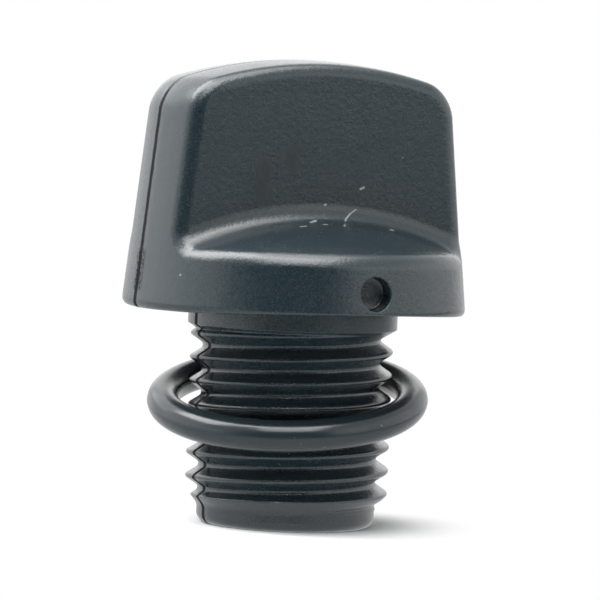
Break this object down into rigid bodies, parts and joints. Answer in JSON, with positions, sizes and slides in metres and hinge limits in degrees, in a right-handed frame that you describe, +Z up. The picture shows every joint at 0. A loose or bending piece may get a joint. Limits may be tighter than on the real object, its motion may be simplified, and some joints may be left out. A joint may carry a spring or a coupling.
{
  "type": "oil_filler_plug",
  "caption": "Black moulded oil filler plug with a broad domed finger grip, round skirt and coarse thread, and a loose rubber O-ring hanging on the thread.",
  "frame": {"origin": "middle of the end face of the threaded shank, on the plane the plug stands on", "axes": "+Z up the plug's axis to the crown of the grip, X along the grip, -Y out of the flat face whose skirt carries the round recess"},
  "size_m": [0.036, 0.036, 0.0488],
  "materials": {
    "moulded_plastic": "black glass-filled moulded plastic, semi-gloss, light handling marks",
    "ring_rubber": "black moulded rubber, satin"
  },
  "bodies": {
    "root": {"plug_body": "moulded_plastic", "o_ring": "ring_rubber"}
  },
  "joints": []
}
